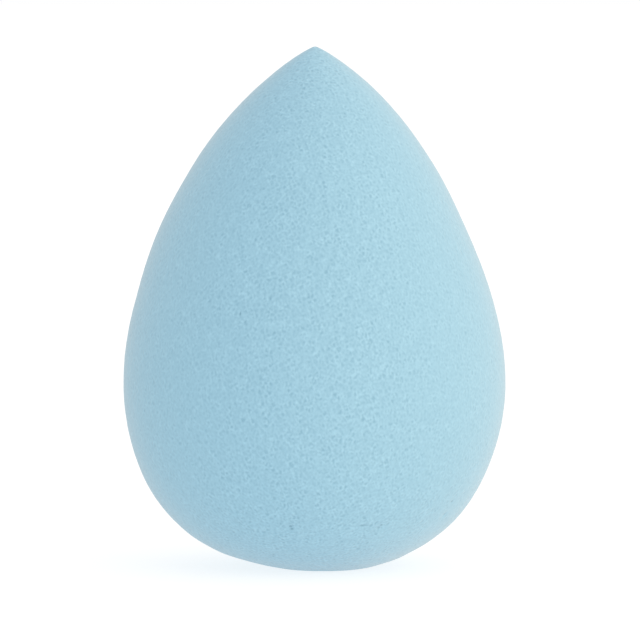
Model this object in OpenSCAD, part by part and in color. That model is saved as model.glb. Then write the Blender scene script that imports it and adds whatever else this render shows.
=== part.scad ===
// Makeup sponge: one teardrop of soft foam, with a blunt point at the top and a
// round belly low down. It stands upright on a small flat foot.
// The side is one unbroken line of arcs, each tangent to the next, turned about
// the upright axis. Lengths are in millimetres and angles in degrees.

/* [Overall size] */
// Height from the flat foot to the point
height = 60; // [50:0.5:76]
// Greatest width, across the belly
belly_w = 44; // [34:0.5:48]
// Height of the widest place above the foot
belly_z = 21; // [17:0.5:26]

/* [Ends] */
// Depth by which the round base is flat, where the sponge stands
foot_depth = 0.5; // [0.2:0.1:1.5]
// Radius of the rounded point
point_r = 1.5; // [0.5:0.1:4]

/* [Side above the belly] */
// How blunt the point is, from a straight-sided cone to a full dome
blunt_share = 0.47; // [0.3:0.01:0.7]
// Slope where the belly's curve ends, as a share of the side's mean slope
belly_turn_share = 0.49; // [0.3:0.01:0.7]
// Slope where the shoulder starts, as a share of what is left to turn
shoulder_turn_share = 0.17; // [0.05:0.01:0.4]
// Length of the long flank, as a share of the way from belly to point
flank_length_share = 0.47; // [0.3:0.01:0.6]

/* [Side below the belly] */
// Slope where the belly's curve ends, as a share of the side's mean slope
under_turn_share = 0.54; // [0.3:0.01:0.7]
// Slope where the base starts, as a share of what is left to turn
base_turn_share = 0.57; // [0.4:0.01:0.75]
// Length of the round heel, as a share of the way from belly to foot
heel_length_share = 0.46; // [0.3:0.01:0.6]

/* [Hidden] */

// Number of steps in a full turn about the axis
round_steps = 180;
// Largest turn from one point of an arc to the next
arc_step = 1.5;
// Slopes of the side: upright at the belly, and level where it meets the axis
upright = 0;
level = 90;

belly_r = belly_w / 2;
// Ways from the widest place up to the point, and down to the uncut base
rise = height - belly_z;
drop = belly_z + foot_depth;

// Mean slopes of the two sides, measured from the upright
upper_slope = atan(belly_r / rise);
lower_slope = atan(belly_r / drop);
// Slope at which the upper side meets the rounded point
point_slope = upper_slope + (level - upper_slope) * blunt_share;

// Out from an arc's centre to its place of a given slope: [outward, along]
function spoke(slope) = [cos(slope), sin(slope)];

// Way along an arc of unit radius from one slope to another: [inward, along]
function way(from, to) = [cos(from) - cos(to), sin(to) - sin(from)];

// Slopes where the three arcs of a side start and end
function turns(mean, end, first_share, last_share) =
    [upright, mean * first_share, mean + (end - mean) * last_share, end];

// Radii of the three arcs that lead from the belly to the end of a side. The
// middle arc has its share of the whole way, and the outer two take the rest.
function radii(whole, turn, middle_share) =
    let (
        first = way(turn[0], turn[1]),
        middle = way(turn[1], turn[2]),
        last = way(turn[2], turn[3]),
        middle_r = norm(whole) * middle_share / norm(middle),
        rest = whole - middle * middle_r
    )
    [
        cross(rest, last) / cross(first, last),
        middle_r,
        cross(first, rest) / cross(first, last)
    ];

// Centres of the three arcs: [out from the axis, along from the belly]
function centres(turn, r) =
    let (
        first = [belly_r - r[0], 0],
        middle = first + (r[0] - r[1]) * spoke(turn[1])
    )
    [first, middle, middle + (r[1] - r[2]) * spoke(turn[2])];

// Points of one arc after its start
function arc_points(centre, r, from, to) =
    let (count = ceil((to - from) / arc_step))
    [for (i = [1 : count]) centre + r * spoke(from + (to - from) * i / count)];

// Points of a side after the belly's own
function side_points(turn, r) =
    let (centre = centres(turn, r))
    [for (i = [0 : len(r) - 1]) each arc_points(centre[i], r[i], turn[i], turn[i + 1])];

upper_turns = turns(upper_slope, point_slope, belly_turn_share, shoulder_turn_share);
point_centre = [0, rise - point_r];
point_start = point_centre + point_r * spoke(point_slope);
upper_radii = radii([belly_r - point_start[0], point_start[1]], upper_turns, flank_length_share);

lower_turns = turns(lower_slope, level, under_turn_share, base_turn_share);
lower_radii = radii([belly_r, drop], lower_turns, heel_length_share);

// Points of the whole side above the belly, and of the side below it
upper_side = [
    each side_points(upper_turns, upper_radii),
    each arc_points(point_centre, point_r, point_slope, level)
];
lower_side = side_points(lower_turns, lower_radii);

// Half outline of the uncut sponge, from the base up the side to the point
outline = [
    for (i = [len(lower_side) - 1 : -1 : 0]) [lower_side[i][0], belly_z - lower_side[i][1]],
    [belly_r, belly_z],
    for (p = upper_side) [p[0], belly_z + p[1]]
];

// The sponge: the outline, cut level at the foot and turned about the axis
module sponge_body() {
    color([0.66, 0.81, 0.87])
        rotate_extrude($fn = round_steps)
            intersection() {
                polygon(outline);
                square([belly_w, height]);
            }
}

sponge_body();
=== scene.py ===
"""Makeup sponge: one teardrop of pale blue open-cell foam, standing on its small
flat foot on a white table. Lengths are in metres.

The sponge's skin is one closed mesh, turned from the solid's own side line, with
faces of about the same area all over. Its broad lumps, its dimples and the dents of
its marks are in the mesh. The pores are finer than the faces, so they are in the
foam's finish, as fine relief and as colour, which darkens them with painted shade."""

import math

import bpy
import numpy as np
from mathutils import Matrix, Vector, noise


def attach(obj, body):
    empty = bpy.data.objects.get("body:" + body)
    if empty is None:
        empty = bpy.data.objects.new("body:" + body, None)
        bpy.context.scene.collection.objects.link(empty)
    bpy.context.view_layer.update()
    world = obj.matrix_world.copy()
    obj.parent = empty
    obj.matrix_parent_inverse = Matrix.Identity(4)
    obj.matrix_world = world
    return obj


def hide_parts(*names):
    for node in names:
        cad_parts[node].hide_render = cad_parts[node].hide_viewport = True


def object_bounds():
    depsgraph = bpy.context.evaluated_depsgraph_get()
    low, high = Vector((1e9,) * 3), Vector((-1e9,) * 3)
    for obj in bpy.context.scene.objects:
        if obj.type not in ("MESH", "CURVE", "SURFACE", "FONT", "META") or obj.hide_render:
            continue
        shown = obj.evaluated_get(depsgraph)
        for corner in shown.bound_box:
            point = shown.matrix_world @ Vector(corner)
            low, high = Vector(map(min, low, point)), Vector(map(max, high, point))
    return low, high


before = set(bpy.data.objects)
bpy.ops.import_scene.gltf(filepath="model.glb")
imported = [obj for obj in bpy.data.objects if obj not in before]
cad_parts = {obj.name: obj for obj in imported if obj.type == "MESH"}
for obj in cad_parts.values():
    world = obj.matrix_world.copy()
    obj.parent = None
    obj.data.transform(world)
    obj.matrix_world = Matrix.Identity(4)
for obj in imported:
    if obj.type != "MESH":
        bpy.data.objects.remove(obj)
solid_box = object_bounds()

MM = 0.001
# Lengths under this don't count
HAIR = 0.001 * MM

# Camera: level with the sponge and a little above it, with a long lens. A pixel of the
# photograph covers so much of the sponge, whose middle lies at one of its pixels.
PHOTO_SIDE = 640
PIXEL = 0.1152 * MM
SPONGE_MIDDLE_PIXEL = (314.05, 307.0)
CAMERA_RISE = math.radians(4)
CAMERA_LENS = 300.0
SENSOR_WIDTH = 36.0
CAMERA_AWAY = CAMERA_LENS * PHOTO_SIDE * PIXEL / SENSOR_WIDTH
CAMERA_RIGHT = Vector((1, 0, 0))
CAMERA_UP = Vector((0, math.sin(CAMERA_RISE), math.cos(CAMERA_RISE)))
CAMERA_BACK = Vector((0, -math.cos(CAMERA_RISE), math.sin(CAMERA_RISE)))
SPONGE_MIDDLE = Vector((0, 0, solid_box[1][2] / 2))
CAMERA_SPOT = (
    SPONGE_MIDDLE
    + CAMERA_BACK * CAMERA_AWAY
    + CAMERA_RIGHT * (PHOTO_SIDE / 2 - SPONGE_MIDDLE_PIXEL[0]) * PIXEL
    - CAMERA_UP * (PHOTO_SIDE / 2 - SPONGE_MIDDLE_PIXEL[1]) * PIXEL
)

# Skin: how fine its side line and its mesh are
LINE_STEP = 0.1 * MM
FACES_ALONG_A_SIDE = 127
# How the real foam strays from a true round. A stray is a height, how far the sponge
# leans to the right there, and how far it swells.
STRAYS = (
    (0.0 * MM, 1.00 * MM, 0.00 * MM),
    (0.7 * MM, 0.62 * MM, -0.04 * MM),
    (2.0 * MM, 0.20 * MM, -0.01 * MM),
    (4.0 * MM, 0.06 * MM, 0.03 * MM),
    (9.0 * MM, -0.05 * MM, -0.02 * MM),
    (20.0 * MM, 0.06 * MM, 0.00 * MM),
    (30.0 * MM, 0.02 * MM, 0.00 * MM),
    (40.0 * MM, -0.18 * MM, 0.00 * MM),
    (47.0 * MM, -0.08 * MM, 0.05 * MM),
    (53.0 * MM, 0.06 * MM, 0.00 * MM),
    (57.5 * MM, 0.12 * MM, 0.03 * MM),
    (60.0 * MM, 0.14 * MM, 0.00 * MM),
)
# The very point is sharper than the solid's: narrower by this share at its tip, and by
# ever less below it
POINT_SHARE = 0.50
POINT_REACH = 0.28 * MM
# Broad lumps and small dimples, which fade out over the last stretch above the flat foot
LUMP_SIZE = 9.0 * MM
LUMP_HEIGHT = 0.06 * MM
DIMPLE_SIZE = 0.8 * MM
DIMPLE_DEPTH = 0.02 * MM
FOOT_EASE = 1.0 * MM

# Marks on the front: small pits and a short crease, dented into the skin, with painted
# shade in them. Each is a pixel of the photograph, across and down, half its width and
# half its height, and how dark its painted shade is.
MARKS = (
    (290.5, 527.1, 0.27 * MM, 0.38 * MM, 0.75),
    (291.9, 528.9, 0.24 * MM, 0.20 * MM, 0.70),
    (240.2, 313.2, 0.18 * MM, 0.38 * MM, 0.75),
    (452.2, 501.4, 0.30 * MM, 0.22 * MM, 0.60),
    (444.2, 515.2, 0.20 * MM, 0.50 * MM, 0.40),
    (364.0, 525.5, 0.80 * MM, 0.18 * MM, 0.42),
    (381.6, 525.3, 0.28 * MM, 0.26 * MM, 0.60),
    (379.0, 527.5, 0.26 * MM, 0.20 * MM, 0.45),
)
# A mark's painted shade is at its darkest within this share of its size. Its dent reaches
# past its edge, and the depth is a share of the mark's half height.
MARK_HEART = 0.3
DENT_REACH = 1.5
DENT_DEPTH = 0.25

# Pores: cells with pale walls, and painted shade in their hollows, in a soft uneven
# grain, both a little taller than wide.
# They are turned out of the sponge's axes, because cells cut along a row show as stripes.
GRAIN_SIZE = 0.29 * MM
GRAIN_TALLNESS = 1.15
GRAIN_TURN = (0.6, 0.35, 0.2)
GRAIN_MIDDLE = 0.50
CELL_SPACING = 0.54 * MM
CELL_SCATTER = 0.7
CELL_WALL = 0.40
CELL_SHARE = 0.28
PORE_DEPTH = 0.05 * MM
# They are stronger in some patches than in others: the patches' own soft noise goes from
# weakest to strongest over this stretch
PATCH_SIZE = 1.0 * MM
PATCH_STRETCH = (0.35, 0.65)
PATCH_WEAKEST = 0.80
PATCH_STRONGEST = 1.35
# Their relief and their painted shade are fainter on the left and right, from where the
# skin's way out points this much sideways, as a square
SIDE_STRETCH = (0.0, 0.5)
SIDE_STRENGTH = 0.66

# The foam's colours, as red, green and blue shares of white light, and its surface. The
# deep colour is painted shade in the pores, and the pale one is their walls.
FOAM_PORE_SHADE = (0.272, 0.497, 0.632, 1.0)
FOAM_HIGH = (0.423, 0.703, 0.851, 1.0)
# The pit colour is painted shade in the marks' pits and crease
FOAM_PIT_SHADE = (0.175, 0.340, 0.450, 1.0)
FOAM_ROUGHNESS = 0.95
FOAM_SPECULAR = 0.2
SHEEN_TINT = (1.0, 0.90, 0.82, 1.0)
SHEEN_WEIGHT = 0.47
SHEEN_ROUGHNESS = 0.45

# Light: a white tent, brighter on its right by this share, and soft lamps. A lamp is its
# name, where it stands, its width, its power and its colour.
WHITE = (1.0, 1.0, 1.0, 1.0)
TENT_LIGHT = 0.90
TENT_RIGHT_SHARE = 0.26
LAMPS = (
    ("key_lamp", (0.40, -0.80, 0.45), 0.35, 0.55, (1.0, 1.0, 1.0)),
    ("side_lamp", (0.70, -0.30, 0.15), 0.30, 1.10, (1.0, 0.57, 0.20)),
)

# Table: its own glow, which is a little stronger for the eye than for the sponge so that
# it shows as white, and its shade, which takes up light and so keeps the sponge's shadow
TABLE_RADIUS = 6.0
TABLE_CORNERS = 96
TABLE_GLOW = 0.61
TABLE_GLOW_SEEN = 0.73
TABLE_SHADE = (0.37, 0.37, 0.37, 1.0)


def in_use(sockets, name):
    """The socket of this name, or at this place in the list, that the node has in use."""
    used = [socket for socket in sockets if socket.enabled]
    if isinstance(name, int):
        return used[name]
    return next(socket for socket in used if socket.name == name)


class Value:
    """A value in a finish. Python's operators on it add the nodes for the sum."""

    def __init__(self, finish, socket):
        self.finish = finish
        self.socket = socket

    def maths(self, operation, other, swapped=False):
        terms = (other, self) if swapped else (self, other)
        return self.finish.node("Math", {"operation": operation}, dict(enumerate(terms)))

    def __add__(self, other):
        return self.maths("ADD", other)

    def __sub__(self, other):
        return self.maths("SUBTRACT", other)

    def __mul__(self, other):
        return self.maths("MULTIPLY", other)

    def __radd__(self, other):
        return self.maths("ADD", other, swapped=True)

    def __rsub__(self, other):
        return self.maths("SUBTRACT", other, swapped=True)

    def __rmul__(self, other):
        return self.maths("MULTIPLY", other, swapped=True)


class Finish:
    """A material, or the world's light, made of nodes."""

    def __init__(self, owner):
        owner.use_nodes = True
        self.owner = owner
        self.tree = owner.node_tree
        self.tree.nodes.clear()

    def node(self, kind, settings, sockets, out=0):
        """Adds a node, sets its settings, then gives its sockets values or links."""
        made = self.tree.nodes.new("ShaderNode" + kind)
        for name, setting in settings.items():
            setattr(made, name, setting)
        for name, term in sockets.items():
            socket = in_use(made.inputs, name)
            if isinstance(term, Value):
                self.tree.links.new(term.socket, socket)
            else:
                socket.default_value = term
        if len(made.outputs) > 0:
            return Value(self, in_use(made.outputs, out))

    def ramp(self, value, low, high, start=0.0, end=1.0):
        """start where value is low, end where it is high, and eased between them."""
        return self.node(
            "MapRange",
            {"interpolation_type": "SMOOTHSTEP"},
            {"Value": value, "From Min": low, "From Max": high, "To Min": start, "To Max": end},
        )

    def soft_noise(self, place, size):
        """An even spread of soft light and dark blots of this size."""
        return self.node(
            "TexNoise",
            {"noise_dimensions": "3D"},
            {"Vector": place, "Scale": 1 / size, "Detail": 0.0},
        )

    def mixed(self, share, low, high):
        """A colour between low and high, by share."""
        return self.node("Mix", {"data_type": "RGBA"}, {"Factor": share, "A": low, "B": high})

    def seen_plainly(self):
        """1 for what is seen, straight, by a reflection or through glass, and 0 for light."""
        looks = [
            self.node("LightPath", {}, {}, out=kind)
            for kind in ("Is Camera Ray", "Is Glossy Ray", "Is Transmission Ray")
        ]
        return looks[0].maths("MAXIMUM", looks[1]).maths("MAXIMUM", looks[2])


def side_line(node):
    """The solid's side from the foot's centre to the point: rows of [radius, height]."""
    spots = np.array([v.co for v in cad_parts[node].data.vertices])
    radius = np.hypot(spots[:, 0], spots[:, 1])
    height = spots[:, 2]
    levels = np.unique(np.round(height / HAIR)) * HAIR
    rows = [(0.0, 0.0)]
    for level in levels:
        rows.append((radius[np.abs(height - level) < HAIR].max(), level))
    rows[-1] = (0.0, levels[-1])
    return np.array(rows)


def smooth_line(rows, step):
    """The line through rows, read again at even steps on smooth curves."""
    along = np.concatenate([[0], np.cumsum(np.hypot(*np.diff(rows, axis=0).T))])
    keep = np.concatenate([[True], np.diff(along) > HAIR])
    rows, along = rows[keep], along[keep]
    slope = np.gradient(rows, along, axis=0)
    spots = np.linspace(0, along[-1], round(along[-1] / step) + 1)
    k = np.clip(np.searchsorted(along, spots, side="right") - 1, 0, len(along) - 2)
    span = along[k + 1] - along[k]
    t = ((spots - along[k]) / span)[:, None]
    span = span[:, None]
    return (
        (2 * t**3 - 3 * t**2 + 1) * rows[k]
        + (t**3 - 2 * t**2 + t) * span * slope[k]
        + (3 * t**2 - 2 * t**3) * rows[k + 1]
        + (t**3 - t**2) * span * slope[k + 1]
    )


def round_grid(count):
    """Directions of a cube's grid blown up to a ball, and its four-sided faces."""
    numbers = {}
    spots = []
    faces = []

    def number(key):
        if key not in numbers:
            numbers[key] = len(spots)
            spots.append([math.tan(math.pi / 4 * (2 * k / count - 1)) for k in key])
        return numbers[key]

    for axis in range(3):
        for end in (0, count):
            for i in range(count):
                for j in range(count):
                    ring = [(i, j), (i + 1, j), (i + 1, j + 1), (i, j + 1)]
                    if end == 0:
                        ring.reverse()
                    keys = []
                    for a, b in ring:
                        key = [0, 0, 0]
                        key[axis] = end
                        key[(axis + 1) % 3] = a
                        key[(axis + 2) % 3] = b
                        keys.append(number(tuple(key)))
                    faces.append(keys)
    spots = np.array(spots)
    return spots / np.linalg.norm(spots, axis=1)[:, None], faces


def eased(shares):
    """Shares from 0 to 1, with a slow start and a slow end."""
    return shares * shares * (3 - 2 * shares)


def strays_at(height):
    """How far the sponge leans to the right, and how far it swells, at these heights."""
    levels = np.array(STRAYS)[:, 0]
    strays = np.array(STRAYS)[:, 1:]
    k = np.clip(np.searchsorted(levels, height, side="right") - 1, 0, len(levels) - 2)
    share = eased(np.clip((height - levels[k]) / (levels[k + 1] - levels[k]), 0, 1))[:, None]
    return (strays[k] + (strays[k + 1] - strays[k]) * share).T


def roughness_of(spots):
    """How far the skin stands out at these places: broad lumps and small dimples.
    The foot itself stays flat."""
    rise = np.empty(len(spots))
    for number, spot in enumerate(spots):
        spot = Vector(spot)
        lump = noise.noise(spot / LUMP_SIZE)
        dimple = noise.noise(spot / DIMPLE_SIZE)
        rise[number] = LUMP_HEIGHT * lump + DIMPLE_DEPTH * dimple
    return rise * eased(np.clip(spots[:, 2] / FOOT_EASE, 0, 1))


def turned_skin(node):
    """The places of the skin turned from a solid's side, their ways out, and the faces."""
    line = smooth_line(side_line(node), LINE_STEP)
    way = np.gradient(line, axis=0)
    way /= np.hypot(*way.T)[:, None]
    band = np.hypot(*np.diff(line, axis=0).T) * (line[1:, 0] + line[:-1, 0])
    area = np.concatenate([[0], np.cumsum(band)])
    area /= area[-1]

    towards, faces = round_grid(FACES_ALONG_A_SIDE)
    share = (1 + towards[:, 2]) / 2
    radius = np.interp(share, area, line[:, 0])
    height = np.interp(share, area, line[:, 1])
    out_r = np.interp(share, area, way[:, 1])
    out_z = np.interp(share, area, -way[:, 0])
    around = towards[:, :2] / np.maximum(np.hypot(*towards[:, :2].T), HAIR)[:, None]
    lean, swell = strays_at(height)
    radius *= 1 - POINT_SHARE * np.exp((height - line[-1, 1]) / POINT_REACH)
    spots = np.column_stack([around * (radius + swell)[:, None], height])
    out = np.column_stack([around * out_r[:, None], out_z])

    spots += out * roughness_of(spots)[:, None]
    spots[:, 0] += lean
    return spots, out, faces


def place_on(spots, out, across, down):
    """The place of the skin that the photograph shows at this pixel."""
    right, up, back = np.array(CAMERA_RIGHT), np.array(CAMERA_UP), np.array(CAMERA_BACK)
    sight = spots - np.array(CAMERA_SPOT)
    pixel = -sight @ back * SENSOR_WIDTH / CAMERA_LENS / PHOTO_SIDE
    rightwards = (across - PHOTO_SIDE / 2) * pixel - sight @ right
    upwards = (PHOTO_SIDE / 2 - down) * pixel - sight @ up
    off = np.hypot(rightwards, upwards)
    off[out @ back < 0] = np.inf
    nearest = np.argmin(off)
    step = right * rightwards[nearest] + up * upwards[nearest]
    return spots[nearest] + step - back * (step @ out[nearest]) / (back @ out[nearest])


def press_marks(spots, out):
    """Presses a dent into the skin for each mark. Gives each mark's place, reach and
    painted shade."""
    marks = []
    for across, down, half_width, half_height, painted_shade in MARKS:
        mark = place_on(spots, out, across, down)
        reach = np.array((half_width, half_width, half_height))
        away = np.linalg.norm((spots - mark) / reach, axis=1) / DENT_REACH
        spots -= out * (DENT_DEPTH * half_height * np.exp(-away * away))[:, None]
        marks.append((mark, reach, painted_shade))
    return marks


def foam_skin():
    """The sponge's skin as one closed mesh, and the marks on it."""
    spots, out, faces = turned_skin("sponge_body")
    marks = press_marks(spots, out)
    spots[:, 2] = np.maximum(spots[:, 2], 0)

    mesh = bpy.data.meshes.new("foam_skin")
    mesh.from_pydata(spots.tolist(), [], faces)
    mesh.update()
    mesh.shade_smooth()
    piece = bpy.data.objects.new("foam_skin", mesh)
    bpy.context.scene.collection.objects.link(piece)
    return piece, marks


def pore_strength(finish, place):
    """How strong the pores are: uneven all over, and fainter on the left and right."""
    facing = finish.node("TexCoord", {}, {}, out="Normal")
    sideways = finish.node("SeparateXYZ", {}, {"Vector": facing}, out="X")
    patch = finish.soft_noise(place, PATCH_SIZE)
    strength = finish.ramp(sideways * sideways, *SIDE_STRETCH, 1.0, SIDE_STRENGTH)
    return strength * finish.ramp(patch, *PATCH_STRETCH, PATCH_WEAKEST, PATCH_STRONGEST)


def pores(finish, place):
    """How high the foam stands, from 0 deep in a pore to 1 on top of a cell's wall."""
    turned = finish.node(
        "Mapping",
        {},
        {"Vector": place, "Rotation": GRAIN_TURN, "Scale": (1.0, 1.0, 1 / GRAIN_TALLNESS)},
    )
    wall = finish.node(
        "TexVoronoi",
        {"feature": "DISTANCE_TO_EDGE", "voronoi_dimensions": "3D"},
        {"Vector": turned, "Scale": 1 / CELL_SPACING, "Randomness": CELL_SCATTER},
        out="Distance",
    )
    cells = finish.ramp(wall, 0.0, CELL_WALL, 1.0, 0.0)
    level = (1 - CELL_SHARE) * finish.soft_noise(turned, GRAIN_SIZE) + CELL_SHARE * cells
    return GRAIN_MIDDLE + pore_strength(finish, place) * (level - GRAIN_MIDDLE)


def mark_painted_shade(finish, place, marks):
    """The painted shade in the marks' pits and crease: full in the heart of one, and none at
    its edge.
    """
    pit_shade = 0.0
    for mark, reach, painted_shade in marks:
        away = finish.node(
            "VectorMath",
            {"operation": "MULTIPLY_ADD"},
            {0: place, 1: tuple(1 / reach), 2: tuple(-mark / reach)},
        )
        away = finish.node("VectorMath", {"operation": "LENGTH"}, {0: away}, out="Value")
        pit_shade = finish.ramp(away, MARK_HEART, 1.0, painted_shade, 0.0).maths("MAXIMUM", pit_shade)
    return pit_shade


def foam_finish(marks):
    """Fine open-cell foam: matt, pale blue, with a soft bloom where it turns away."""
    finish = Finish(bpy.data.materials.new("pale_blue_foam"))
    place = finish.node("TexCoord", {}, {}, out="Object")
    level = pores(finish, place)
    # The colour goes from painted shade deep in a pore to the pale colour of its walls
    foam_and_pore_shade = finish.mixed(level, FOAM_PORE_SHADE, FOAM_HIGH)
    # The marks' pits and crease get painted shade
    colour = finish.mixed(mark_painted_shade(finish, place, marks), foam_and_pore_shade, FOAM_PIT_SHADE)
    relief = finish.node("Bump", {}, {"Height": level, "Strength": 1.0, "Distance": PORE_DEPTH})
    foam = finish.node(
        "BsdfPrincipled",
        {},
        {
            "Base Color": colour,
            "Roughness": FOAM_ROUGHNESS,
            "Specular IOR Level": FOAM_SPECULAR,
            "Sheen Weight": SHEEN_WEIGHT,
            "Sheen Roughness": SHEEN_ROUGHNESS,
            "Sheen Tint": SHEEN_TINT,
            "Normal": relief,
        },
    )
    finish.node("OutputMaterial", {}, {"Surface": foam})
    return finish.owner


def table_top():
    """The floor: a white light table, which keeps a faint shadow of the sponge."""
    bpy.ops.mesh.primitive_circle_add(
        vertices=TABLE_CORNERS, radius=TABLE_RADIUS, fill_type="NGON"
    )
    floor = bpy.context.object
    floor.name = "table_top"
    finish = Finish(bpy.data.materials.new("white_table"))
    glow = TABLE_GLOW + (TABLE_GLOW_SEEN - TABLE_GLOW) * finish.seen_plainly()
    plain = finish.node("BsdfDiffuse", {}, {"Color": TABLE_SHADE})
    bright = finish.node("Emission", {}, {"Color": WHITE, "Strength": glow})
    both = finish.node("AddShader", {}, {0: plain, 1: bright})
    finish.node("OutputMaterial", {}, {"Surface": both})
    floor.data.materials.append(finish.owner)


def light_tent():
    """White light from all round, brighter on the right, which shows as plain white."""
    tent = bpy.data.worlds.new("light_tent")
    bpy.context.scene.world = tent
    finish = Finish(tent)
    seen = finish.seen_plainly()
    way = finish.node("TexCoord", {}, {}, out="Generated")
    rightwards = finish.node("SeparateXYZ", {}, {"Vector": way}, out="X")
    lit = TENT_LIGHT * (1 + TENT_RIGHT_SHARE * rightwards)
    glow = seen + (1 - seen) * lit
    light = finish.node("Background", {}, {"Color": WHITE, "Strength": glow})
    finish.node("OutputWorld", {}, {"Surface": light})


def soft_lamp(name, spot, width, power, colour):
    """A soft studio lamp at spot that faces the sponge."""
    lamp = bpy.data.lights.new(name, "AREA")
    lamp.size = width
    lamp.energy = power
    lamp.color = colour
    holder = bpy.data.objects.new(name, lamp)
    holder.location = spot
    facing = SPONGE_MIDDLE - Vector(spot)
    holder.rotation_euler = facing.to_track_quat("-Z", "Y").to_euler()
    bpy.context.scene.collection.objects.link(holder)


def camera():
    """The photograph's own view of the sponge."""
    lens = bpy.data.cameras.new("camera")
    lens.lens = CAMERA_LENS
    lens.sensor_width = SENSOR_WIDTH
    holder = bpy.data.objects.new("camera", lens)
    holder.location = CAMERA_SPOT
    holder.rotation_euler = CAMERA_BACK.to_track_quat("Z", "Y").to_euler()
    bpy.context.scene.collection.objects.link(holder)
    bpy.context.scene.camera = holder


camera()
sponge, marks = foam_skin()
sponge.data.materials.append(foam_finish(marks))
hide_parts("sponge_body")
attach(sponge, "root")
table_top()
light_tent()
for lamp in LAMPS:
    soft_lamp(*lamp)
bpy.context.scene.view_settings.view_transform = "Standard"
